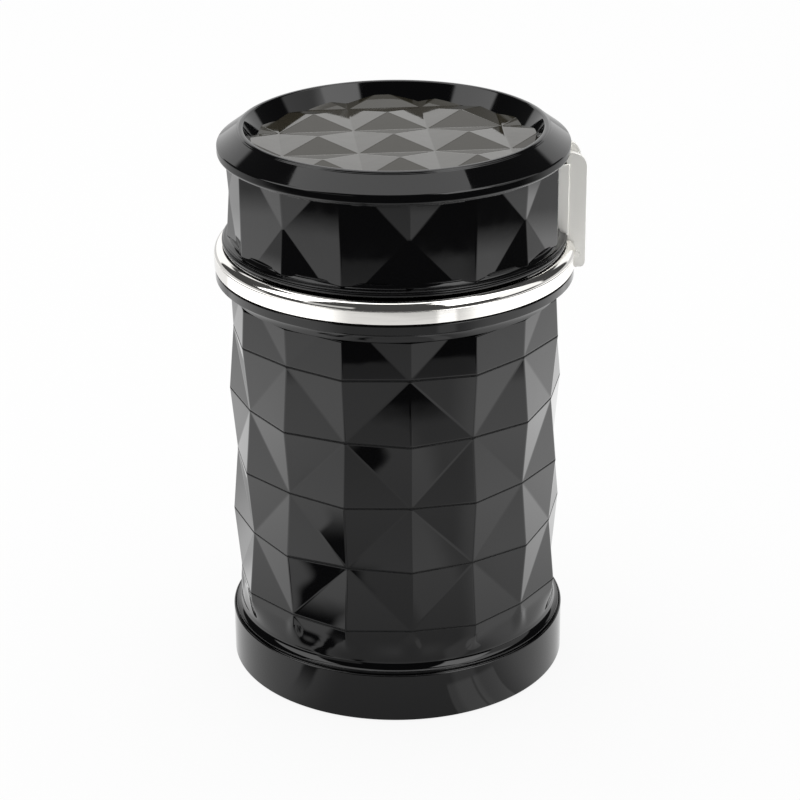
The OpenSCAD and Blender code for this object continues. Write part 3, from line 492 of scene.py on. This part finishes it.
def screw_tree():
    """Geometry tree of a set of screws: number k stands at start + k step, on a circle, tilted."""
    tree = bpy.data.node_groups.new("Screw set", "GeometryNodeTree")
    for name, kind in (("Screw", "Object"), ("Count", "Int"), ("Circle", "Float"), ("First turn", "Float"),
                       ("Turn", "Float"), ("Start", "Vector"), ("Step", "Vector"), ("Tilt", "Rotation"),
                       ("Finish", "Material")):
        tree.interface.new_socket(name, in_out="INPUT", socket_type="NodeSocket" + kind)
    tree.interface.new_socket("Screws", in_out="OUTPUT", socket_type="NodeSocketGeometry")
    given = add_node(tree, "NodeGroupInput").outputs
    index = add_node(tree, "GeometryNodeInputIndex").outputs[0]
    angle = add_node(tree, "ShaderNodeMath", {}, {0: index, 1: given["Turn"], 2: given["First turn"]},
                     operation="MULTIPLY_ADD").outputs[0]
    cosine = add_node(tree, "ShaderNodeMath", {}, {0: angle}, operation="COSINE").outputs[0]
    sine = add_node(tree, "ShaderNodeMath", {}, {0: angle}, operation="SINE").outputs[0]
    around = add_node(tree, "ShaderNodeCombineXYZ", {}, {0: cosine, 1: sine}).outputs[0]
    ring = add_node(tree, "ShaderNodeVectorMath", {}, {0: around, "Scale": given["Circle"]},
                    operation="SCALE")
    along = add_node(tree, "ShaderNodeVectorMath", {}, {0: given["Step"], "Scale": index},
                     operation="SCALE")
    place = add_node(tree, "ShaderNodeVectorMath", {}, {0: ring.outputs[0], 1: along.outputs[0]})
    seat = add_node(tree, "ShaderNodeVectorMath", {}, {0: place.outputs[0], 1: given["Start"]})
    points = add_node(tree, "GeometryNodePoints", {}, {"Count": given["Count"], "Position": seat.outputs[0]})
    one = add_node(tree, "GeometryNodeObjectInfo", {}, {"Object": given["Screw"]})
    placed = add_node(tree, "GeometryNodeInstanceOnPoints", {},
                      {"Points": points.outputs[0], "Instance": one.outputs["Geometry"],
                       "Rotation": given["Tilt"]})
    solid = add_node(tree, "GeometryNodeRealizeInstances", {}, {0: placed.outputs[0]})
    coated = add_node(tree, "GeometryNodeSetMaterial", {}, {"Geometry": solid.outputs[0],
                                                            "Material": given["Finish"]})
    add_node(tree, "NodeGroupOutput", {}, {0: coated.outputs[0]})
    return tree


def screws(node, body, shank_r, head_r, head_h, length, inputs):
    """Stands a set of socket screws in place of a CAD node; a screw points down from its seat at 0."""
    crown = head_h * 0.45
    bend = (head_r ** 2 + crown ** 2) / (2 * crown)
    sweep = math.degrees(math.asin(head_r / bend))
    outline = [(0, -length), (shank_r * 0.7, -length), (shank_r, -length + shank_r * 0.3), (shank_r, 0)]
    outline += [(head_r - 0.05 * MM, 0), (head_r, 0.05 * MM)]
    outline += arc(0, head_h - bend, bend, 90 - sweep, 90, 6)[:-1] + [(0, head_h)]
    screw = spin("screw", outline, screw_steel, 48)
    socket = spin("socket", [(0, head_h * 0.3), (head_r * 0.45, head_h * 0.3), (head_r * 0.5, 2 * head_h),
                             (0, 2 * head_h)], screw_steel, 6)
    carve(screw, socket)
    tree_inputs = {"Screw": screw, "Finish": screw_steel, "Turn": math.tau / 3, "First turn": 0.0}
    piece = grow(node + "_finished", screw_tree(), {**tree_inputs, **inputs})
    bpy.data.objects.remove(screw)
    fit(piece, body, "screw_steel", node)


clamp_low, clamp_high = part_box("clamp_screws")
insert_r = bore_r - 0.3 * MM
burr_r = insert_r - 9.2 * MM
screws("clamp_screws", "insert", 1.1 * MM, 2 * MM, 0.8 * MM, clamp_high.z - clamp_low.z - 0.8 * MM, {
    "Count": 3, "Circle": (insert_r + burr_r) / 2, "Start": (0, 0, clamp_low.z + 0.8 * MM),
    "Tilt": (math.pi, 0, 0)})
bridge_low, bridge_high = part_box("bridge_screws")
screws("bridge_screws", "insert", 1.1 * MM, 1.4 * MM, 0.8 * MM, bridge_high.z - bridge_low.z - 0.8 * MM, {
    "Count": 3, "Circle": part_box("bearing_bridge")[1].y - 1.5 * MM, "First turn": math.pi / 6,
    "Start": (0, 0, bridge_high.z - 0.8 * MM)})
driver_low, driver_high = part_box("driver_screws")
driver_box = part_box("driver_plate")
screws("driver_screws", "head", 0.6 * MM, 0.9 * MM, 0.6 * MM, driver_high.z - driver_low.z - 0.6 * MM, {
    "Count": 3, "Circle": driver_box[1].y - MM, "First turn": math.pi / 3, "Start": (0, 0, driver_box[1].z)})

# ---- Head -----------------------------------------------------------------------------------
# The head turns on the neck. Its collar is black ABS with a hollow edge under a narrow band, and
# its inside is the hopper, where a three-armed steel driver grips the shaft under a nut.

break_edges("head_collar", "head", "black_plastic", abs_gloss, 0.12 * MM)
break_edges("driver_plate", "head", "turned_steel", ground_steel, 0.15 * MM)
break_edges("shaft_nut", "head", "screw_steel", screw_steel, 0.2 * MM)

# ---- Bright ring ----------------------------------------------------------------------------
# A ring of polished stainless steel is pushed onto the collar's spigot. Its top rolls over into a
# bead, and buffing on a wheel leaves hairlines that run round it.

polished_steel = surface("polished_stainless", "#f1efeb", 0.07, 0.9 * MM, 0.0006 * MM, (0.12, 0.12, 3), 0.04,
                         Metallic=1)
ring_low, ring_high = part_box("bright_ring")
ring_r = -ring_low.x
ring_bore = ring_r - 2.37 * MM
bead = 1.65 * MM
bead_z = ring_high.z - bead
ring_outline = [(ring_bore, ring_low.z)]
ring_outline += arc(ring_r - 0.2 * MM, ring_low.z + 0.2 * MM, 0.2 * MM, -90, 0, 5)
ring_outline += arc(ring_r - 0.1 * MM, bead_z - 0.2 * MM, 0.1 * MM, 0, 90, 4)
ring_outline += arc(ring_r - 0.1 * MM - bead, bead_z, bead, -3, 90, 24)
ring_outline += arc(ring_bore + 0.35 * MM, ring_high.z - 0.35 * MM, 0.35 * MM, 90, 180, 6)
ring = spin("polished_ring", ring_outline, polished_steel, 256)
notch_w = 9.8 * MM
notch_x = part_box("hinge_knuckle")[0].x + 1.8 * MM
carve(ring, block((notch_x, -notch_w / 2, ring_low.z - MM), (ring_r + MM, notch_w / 2, ring_high.z + MM)))
fit(ring, "head", "chrome", "bright_ring")

# ---- Lid ------------------------------------------------------------------------------------
# The lid is moulded in the same black as the collar. Its side repeats the jar's facets between a
# stepped lip and a flange, whose slope rises to a rolled crest round a dish.

lid_low, lid_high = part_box("lid_shell")
lid_skin_r = STAR_R - 1.2 * MM
under = lid_high.z - 5.6 * MM
lid_cove = lid_low.z + 2 * MM
lid_skin = facet_skin("lid_skin", {
    "Columns": COLUMNS, "Rows": 2, "Row height": ROW, "Foot height": lid_low.z + 10.7 * MM - ROW,
    "Even sunk": STAR_R, "Even raised": PEAK_R - 0.2 * MM, "Odd sunk": (STAR_R + PEAK_R) / 2 + 0.1 * MM,
    "Odd raised": (STAR_R + PEAK_R) / 2 + 0.1 * MM, "Finish": abs_gloss},
    lid_low.z + 1.25 * MM, under + 0.2 * MM, lid_skin_r, 0.3 * MM)
lip_r = band_r - 0.2 * MM
flange_r = band_r + 0.2 * MM
crest_out = flange_r - 4.3 * MM
crest_in = crest_out - 1.1 * MM
dish_r = crest_in - 2.2 * MM
dish_z = lid_high.z - 3.7 * MM
panel_low, panel_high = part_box("lid_panel")
liner_r = STAR_R - 1.8 * MM
lid_outline = [(liner_r, lid_low.z)]
lid_outline += arc(lip_r - 0.2 * MM, lid_low.z + 0.2 * MM, 0.2 * MM, -90, 0, 4)
lid_outline += arc(lip_r - 0.2 * MM, lid_low.z + 0.55 * MM, 0.2 * MM, 0, 90, 4)
lid_outline += arc(lip_r - 0.4 * MM, lid_low.z + 0.9 * MM, 0.15 * MM, -90, 90, 6)
lid_outline += arc(STAR_R + 0.1 * MM + MM, lid_low.z + 2.1 * MM, MM, -80, -180, 12)
lid_outline += [(lid_skin_r + 0.3 * MM, lid_cove + 0.2 * MM), (lid_skin_r + 0.3 * MM, under - 0.5 * MM)]
lid_outline += [(STAR_R + 0.2 * MM, under - 0.45 * MM)]
lid_outline += arc(STAR_R + 0.7 * MM, under - 0.45 * MM, 0.5 * MM, 180, 95, 6)
lid_outline += arc(STAR_R + 0.95 * MM, under + 0.2 * MM, 0.22 * MM, -70, 20, 6)
lid_outline += [(STAR_R + 1.2 * MM, under + 0.42 * MM)]
lid_outline += arc(flange_r - 0.6 * MM, under + 0.95 * MM, 0.6 * MM, -70, 0, 8)
lid_outline += arc(flange_r - 0.6 * MM, under + 2 * MM, 0.6 * MM, 0, 52, 8)
lid_outline += arc(crest_out + 0.55 * MM, lid_high.z - 0.25 * MM, 0.25 * MM, 235, 190, 4)
lid_outline += arc(crest_out - 0.4 * MM, lid_high.z - 0.45 * MM, 0.45 * MM, 15, 90, 8)
lid_outline += arc(crest_in + 0.4 * MM, lid_high.z - 0.45 * MM, 0.45 * MM, 90, 155, 8)
lid_outline += [(dish_r + 0.15 * MM, dish_z + 0.15 * MM), (dish_r, dish_z)]
lid_outline += [(dish_r, panel_low.z - 0.1 * MM), (dish_r - 1.8 * MM, panel_low.z - 0.1 * MM),
                (dish_r - 1.8 * MM, panel_low.z - 1.6 * MM), (liner_r, panel_low.z - 1.6 * MM)]
lid_core = spin("lid_core", lid_outline, abs_gloss, 256)
bracket_low, bracket_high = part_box("hinge_bracket")
flat_w = bracket_high.y - bracket_low.y + 0.6 * MM
for part in (lid_core, lid_skin):
    carve(part, block((bracket_low.x, -flat_w / 2, lid_low.z - MM),
                      (flange_r + MM, flat_w / 2, bracket_high.z + 0.1 * MM)))
flat = block((lid_skin_r, -flat_w / 2, lid_cove), (bracket_low.x, flat_w / 2, under + 0.2 * MM))
flat.data.materials[0] = abs_gloss
fit(joined("moulded_lid", lid_core, lid_skin, flat), "lid", "black_plastic", "lid_shell")
break_edges("lid_liner", "lid", "black_matte", matte_plastic, 0.15 * MM)
dress("lid_seal", silicone)

# ---- Dish panel -----------------------------------------------------------------------------
# A disc of dark acrylic lies in the dish. Low square pyramids are moulded side by side over it, and
# their slopes catch the light above in olive and grey. Its edge is hidden in the lid's wall.

smoked_acrylic = surface("smoked_acrylic", "#302d25", 0.06, 6 * MM, 0.035 * MM, spread=0.02, IOR=1.5)


def pyramid_tree():
    """Geometry tree of a field of low pyramids: a grid of half cells whose odd nodes rise."""
    tree = bpy.data.node_groups.new("Pyramid field", "GeometryNodeTree")
    for name, kind in (("Cells", "Int"), ("Cell", "Float"), ("Rise", "Float"), ("Level", "Float"),
                       ("Finish", "Material")):
        tree.interface.new_socket(name, in_out="INPUT", socket_type="NodeSocket" + kind)
    tree.interface.new_socket("Field", in_out="OUTPUT", socket_type="NodeSocketGeometry")
    given = add_node(tree, "NodeGroupInput").outputs
    across = add_node(tree, "ShaderNodeMath", {1: 2, 2: 1}, {0: given["Cells"]}, operation="MULTIPLY_ADD")
    span = add_node(tree, "ShaderNodeMath", {}, {0: given["Cells"], 1: given["Cell"]}, operation="MULTIPLY")
    grid = add_node(tree, "GeometryNodeMeshGrid", {}, {
        "Size X": span.outputs[0], "Size Y": span.outputs[0],
        "Vertices X": across.outputs[0], "Vertices Y": across.outputs[0]})
    index = add_node(tree, "GeometryNodeInputIndex").outputs[0]
    share = add_node(tree, "ShaderNodeMath", {}, {0: index, 1: across.outputs[0]}, operation="DIVIDE")
    column = add_node(tree, "ShaderNodeMath", {}, {0: share.outputs[0]}, operation="FLOOR").outputs[0]
    row = add_node(tree, "ShaderNodeMath", {}, {0: index, 1: across.outputs[0]},
                   operation="MODULO").outputs[0]
    odd_column = add_node(tree, "ShaderNodeMath", {1: 2}, {0: column}, operation="MODULO").outputs[0]
    odd_row = add_node(tree, "ShaderNodeMath", {1: 2}, {0: row}, operation="MODULO").outputs[0]
    apex = add_node(tree, "ShaderNodeMath", {}, {0: odd_column, 1: odd_row}, operation="MULTIPLY").outputs[0]
    height = add_node(tree, "ShaderNodeMath", {}, {0: apex, 1: given["Rise"], 2: given["Level"]},
                      operation="MULTIPLY_ADD").outputs[0]
    lift = add_node(tree, "ShaderNodeCombineXYZ", {}, {2: height}).outputs[0]
    raised = add_node(tree, "GeometryNodeSetPosition", {}, {"Geometry": grid.outputs[0], "Offset": lift})
    slopes = add_node(tree, "GeometryNodeTriangulate", {}, {0: raised.outputs[0]},
                      quad_method="LONGEST_DIAGONAL")
    solid = add_node(tree, "GeometryNodeRealizeInstances", {}, {0: slopes.outputs[0]})
    coated = add_node(tree, "GeometryNodeSetMaterial", {}, {"Geometry": solid.outputs[0],
                                                            "Material": given["Finish"]})
    add_node(tree, "NodeGroupOutput", {}, {0: coated.outputs[0]})
    return tree


PYRAMID = 15 * MM
panel_r = panel_high.x + 1.1 * MM
cells = 2 * math.ceil(panel_high.x / PYRAMID - 0.5) + 1
panel = grow("pyramid_panel", pyramid_tree(), {
    "Cells": cells, "Cell": PYRAMID, "Rise": panel_high.z - dish_z, "Level": dish_z,
    "Finish": smoked_acrylic})
field = bmesh.new()
field.from_mesh(panel.data)
edges = [e for e in field.edges if e.is_boundary]
skirt = bmesh.ops.extrude_edge_only(field, edges=edges)["geom"]
for vertex in (v for v in skirt if isinstance(v, bmesh.types.BMVert)):
    vertex.co.z = panel_low.z - MM
bmesh.ops.contextual_create(field, geom=[e for e in field.edges if e.is_boundary])
bmesh.ops.recalc_face_normals(field, faces=field.faces)
field.to_mesh(panel.data)
field.free()
round_creases(panel, 0.22 * MM, 3)
disc = spin("disc", [(0, panel_low.z), (panel_r, panel_low.z), (panel_r, lid_high.z), (0, lid_high.z)],
            smoked_acrylic, 192)
carve(panel, disc, operation="INTERSECT")
fit(panel, "lid", "black_glass", "lid_panel")

# ---- Hinge ----------------------------------------------------------------------------------
# A bracket bent from stainless sheet is screwed to the lid and turns on a steel pin in the head's
# knuckle. Its cheeks stand proud of the side and reach back over the lid's boss; they are satin,
# with a brushed grain up and down.

satin_steel = surface("satin_stainless_sheet", "#f6f5f1", 0.62, 0.35 * MM, 0.001 * MM, (1, 1, 0.04), 0.04,
                      Metallic=1)
break_edges("hinge_bracket", "lid", "sheet_steel", satin_steel, 0.15 * MM)
break_edges("hinge_knuckle", "head", "turned_steel", ground_steel, 0.15 * MM)
dress("hinge_pin", satin_steel)
root_reach, root_lap = 3 * MM, 0.6 * MM
root_sunk, root_proud = 0.05 * MM, 0.5 * MM
root_low, root_high = lid_low.z + 0.6 * MM, bracket_high.z - 2.2 * MM
roots = []
for side in (-1, 1):
    inner_y, outer_y = sorted((side * (bracket_high.y - root_sunk), side * (bracket_high.y + root_proud)))
    root = block((bracket_low.x - root_reach, inner_y, root_low),
                 (bracket_low.x + root_lap, outer_y, root_high))
    root.data.materials[0] = satin_steel
    roots.append(root)
fit(round_creases(joined("bracket_cheek_roots", *roots), 0.15 * MM, 28), "lid", "sheet_steel")
hinge_low, hinge_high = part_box("bracket_screws")
screws("bracket_screws", "lid", MM, 1.9 * MM, 0.8 * MM, 3 * MM, {
    "Count": 2, "Circle": 0.0, "Start": (bracket_low.x + MM, 0, hinge_low.z + 1.9 * MM),
    "Step": (0, 0, hinge_high.z - hinge_low.z - 3.8 * MM), "Tilt": (0, math.pi / 2, 0)})

# ---- Studio ---------------------------------------------------------------------------------
# White paper under the grinder runs into a pale background. The black parts show the room: a pool of
# light painted on the paper for reflections, a softbox at each side and one overhead, and dark drapes round
# the camera.

FLOOR_SIZE = 6.0
ROOM_GLOW = 0.06


def bearing(tree, axes):
    """Angle of a place or direction about the object, in radians: 0 towards the front, + to the right."""
    front = add_node(tree, "ShaderNodeMath", {1: -1}, {0: axes[1]}, operation="MULTIPLY").outputs[0]
    return add_node(tree, "ShaderNodeMath", {}, {0: axes[0], 1: front}, operation="ARCTAN2").outputs[0]


def window(tree, value, low, high, soft, level=1.0):
    """A socket that is level where value lies between low and high, and 0 outside, with soft edges."""
    offset = add_node(tree, "ShaderNodeMath", {1: (low + high) / 2}, {0: value}, operation="SUBTRACT")
    away = add_node(tree, "ShaderNodeMath", {}, {0: offset.outputs[0]}, operation="ABSOLUTE").outputs[0]
    half = (high - low) / 2
    return add_node(tree, "ShaderNodeMapRange",
                    {"From Min": half - soft, "From Max": half + soft, "To Min": level, "To Max": 0},
                    {"Value": away}, interpolation_type="SMOOTHSTEP").outputs[0]


def combined(tree, operation, *values):
    """The sum, the product or the highest of several sockets."""
    total = values[0]
    for value in values[1:]:
        total = add_node(tree, "ShaderNodeMath", {}, {0: total, 1: value}, operation=operation).outputs[0]
    return total


def paper():
    """Matt white paper: white to the camera, and in reflections a painted pool of light round the object.

    The pool is brightest at the sides, and stops in front and behind. Bearings are in radians from
    the front, and radii in metres from the axis.
    """
    material = bpy.data.materials.new("white_paper")
    material.use_nodes = True
    tree = material.node_tree
    tree.nodes.clear()
    rays = add_node(tree, "ShaderNodeLightPath").outputs
    place = add_node(tree, "ShaderNodeTexCoord").outputs["Object"]
    axes = add_node(tree, "ShaderNodeSeparateXYZ", {}, {0: place}).outputs
    turn = bearing(tree, axes)
    oval = add_node(tree, "ShaderNodeMapping", {"Scale": (0.9, 1, 0)}, {"Vector": place}).outputs[0]
    reach = add_node(tree, "ShaderNodeVectorMath", {}, {0: oval}, operation="LENGTH").outputs["Value"]

    # The pool's edge, with a tongue that runs a little further in front.
    spot = add_node(tree, "ShaderNodeMapping", {"Scale": (0.85, 1, 0), "Location": (0.015, 0, 0)},
                    {"Vector": place}).outputs[0]
    spread = add_node(tree, "ShaderNodeVectorMath", {}, {0: spot}, operation="LENGTH").outputs["Value"]
    edge = add_node(tree, "ShaderNodeMapRange", {"From Min": 0.289, "From Max": 0.262}, {"Value": spread})
    tongue = combined(tree, "MULTIPLY", window(tree, turn, -0.28, 0.42, 0.03, 0.6),
                      window(tree, reach, 0.2, 0.297, 0.003))
    pool = combined(tree, "MAXIMUM", edge.outputs[0], tongue)

    # Its painted level: less in front and behind, a strip of more to the right of the front, and painted
    # shade under the object's own foot.
    fall = add_node(tree, "ShaderNodeMapRange",
                    {"From Min": 0.13, "From Max": 0.3, "To Min": 1.85, "To Max": 1.55}, {"Value": reach})
    sectors = [window(tree, turn, math.radians(left), math.radians(right), soft, change)
               for left, right, soft, change in ((-42, 44, 0.22, -0.9), (20, 31, 0.03, 0.55),
                                                 (-200, -128, 0.08, -0.8), (128, 200, 0.08, -0.6))]
    foot = add_node(tree, "ShaderNodeMapRange",
                    {"From Min": 0.03, "From Max": 0.12, "To Min": 0.5, "To Max": 1}, {"Value": reach})

    # Three painted dark streaks in the paper's reflections, to the left of the front.
    ripple = add_node(tree, "ShaderNodeTexNoise", {"Scale": 30, "Detail": 2}, {"Vector": place}).outputs[0]
    swayed = add_node(tree, "ShaderNodeMath", {1: 0.35}, {0: ripple, 2: turn}, operation="MULTIPLY_ADD")
    painted_dark_streaks = [combined(tree, "MULTIPLY", window(tree, swayed.outputs[0], left, left + wide, 0.02),
                     window(tree, reach, near_r, far_r, 0.008))
            for left, wide, near_r, far_r in ((-0.71, 0.13, 0.044, 0.1), (-0.95, 0.18, 0.06, 0.084),
                                              (-0.34, 0.09, 0.06, 0.13))]
    lit = add_node(tree, "ShaderNodeMath", {0: 1}, {1: combined(tree, "MAXIMUM", *painted_dark_streaks)},
                   operation="SUBTRACT").outputs[0]
    near = combined(tree, "MULTIPLY", combined(tree, "ADD", fall.outputs[0], *sectors), pool,
                    foot.outputs[0], lit)

    # Two painted highlights close to the foot at the right, and the paper behind the pool.
    painted_highlights = [window(tree, turn, left, right, 0.008, 0.5) for left, right in ((0.285, 0.487), (0.505, 0.7))]
    sheet = combined(tree, "MULTIPLY", combined(tree, "ADD", *painted_highlights),
                     window(tree, reach, 0.03, 0.0475, 0.001))
    beyond = add_node(tree, "ShaderNodeMath", {0: 1}, {1: pool}, operation="SUBTRACT").outputs[0]
    behind = combined(tree, "MULTIPLY", window(tree, axes[1], 0.02, 3, 0.1, 0.62), beyond)
    glow = add_node(tree, "ShaderNodeMath", {1: ROOM_GLOW},
                    {0: combined(tree, "ADD", near, behind, sheet)}).outputs[0]

    matt = add_node(tree, "ShaderNodeBsdfDiffuse", {"Color": linear("#f4f4f4")})
    seen = add_node(tree, "ShaderNodeEmission", {"Color": (1, 1, 1, 1), "Strength": 1})
    camera_mix = add_node(tree, "ShaderNodeMixShader", {0: 0.9}, {1: matt.outputs[0], 2: seen.outputs[0]})
    # Glossy rays see the paper glow with the painted pool of light, painted shade and painted highlights.
    mirrored = add_node(tree, "ShaderNodeEmission", {"Color": (1, 1, 1, 1)}, {"Strength": glow})
    sharp = add_node(tree, "ShaderNodeMixShader", {}, {0: rays["Is Glossy Ray"], 1: matt.outputs[0],
                                                       2: mirrored.outputs[0]})
    both = add_node(tree, "ShaderNodeMixShader", {}, {0: rays["Is Camera Ray"], 1: sharp.outputs[0],
                                                      2: camera_mix.outputs[0]})
    add_node(tree, "ShaderNodeOutputMaterial", {}, {"Surface": both.outputs[0]})
    return material


floor_mesh = bmesh.new()
bmesh.ops.create_grid(floor_mesh, x_segments=1, y_segments=1, size=FLOOR_SIZE / 2)
floor = settled("floor", floor_mesh, paper())


def room():
    """World light: plain white for the camera and for matt surfaces, softboxes and drapes for gloss."""
    world = bpy.data.worlds.new("studio_room")
    bpy.context.scene.world = world
    world.use_nodes = True
    tree = world.node_tree
    tree.nodes.clear()
    rays = add_node(tree, "ShaderNodeLightPath").outputs
    way = add_node(tree, "ShaderNodeTexCoord").outputs["Generated"]
    axes = add_node(tree, "ShaderNodeSeparateXYZ", {}, {0: way}).outputs
    turn = bearing(tree, axes)
    height = add_node(tree, "ShaderNodeMath", {}, {0: axes[2]}, operation="ARCSINE").outputs[0]
    # Each panel's left and right edge, its foot and top, all in degrees, and its level.
    right_softbox = (28, 62, 14, 62, 4.0), (62, 96, 38, 66, 2.6), (62, 98, -14, 38, 1.1)
    left_softbox = (-100, -62, 14, 58, 3.0), (-62, -30, -14, 18, 0.5)
    back_wall = ((-181, -150, 34, 64, 1.0), (150, 181, 34, 64, 1.0),
                 (-181, -142, -14, 29, 1.1), (130, 181, -14, 29, 1.1))
    lights = []
    for left, right, low, high, level in right_softbox + left_softbox + back_wall:
        across = window(tree, turn, math.radians(left), math.radians(right), 0.03)
        upward = window(tree, height, math.radians(low), math.radians(high), 0.03, level)
        lights.append(combined(tree, "MULTIPLY", across, upward))
    gloss = add_node(tree, "ShaderNodeMath", {1: ROOM_GLOW}, {0: combined(tree, "ADD", *lights)}).outputs[0]
    plain = add_node(tree, "ShaderNodeMix", {2: 0.6}, {0: rays["Is Glossy Ray"], 3: gloss}).outputs[0]
    seen = add_node(tree, "ShaderNodeMix", {3: 1.0}, {0: rays["Is Camera Ray"], 2: plain}).outputs[0]
    sky = add_node(tree, "ShaderNodeBackground", {"Color": (1, 1, 1, 1)}, {"Strength": seen})
    add_node(tree, "ShaderNodeOutputWorld", {}, {"Surface": sky.outputs[0]})


room()
softbox = bpy.data.lights.new("softbox", "AREA")
softbox.shape = "RECTANGLE"
softbox.size = 0.97
softbox.size_y = 0.8
softbox.energy = 2.3 * math.pi * softbox.size * softbox.size_y
overhead = bpy.data.objects.new("softbox", softbox)
overhead.location = (-0.07, 0.2, 1.0)
bpy.context.scene.collection.objects.link(overhead)

# ---- Camera ---------------------------------------------------------------------------------
# A 112 mm lens half a metre away, a little to the left of the front, looks down on the lid.

HEADING = math.radians(4.9)
PITCH = math.radians(23.485)
ROLL = math.radians(0.44)
ahead = Vector((math.sin(HEADING) * math.cos(PITCH), math.cos(HEADING) * math.cos(PITCH), -math.sin(PITCH)))
right = Vector((math.cos(HEADING), -math.sin(HEADING), 0))
above = right.cross(ahead)
turned_right = right * math.cos(ROLL) - above * math.sin(ROLL)
turned_above = right * math.sin(ROLL) + above * math.cos(ROLL)
lens = bpy.data.cameras.new("camera")
lens.sensor_width = 36
lens.lens = 112.0
camera = bpy.data.objects.new("camera", lens)
camera.matrix_world = Matrix.Translation((-0.03962, -0.47206, 0.26204)) @ Matrix(
    (turned_right, turned_above, -ahead)).transposed().to_4x4()
bpy.context.scene.collection.objects.link(camera)
bpy.context.scene.camera = camera
bpy.context.scene.view_settings.view_transform = "Standard"
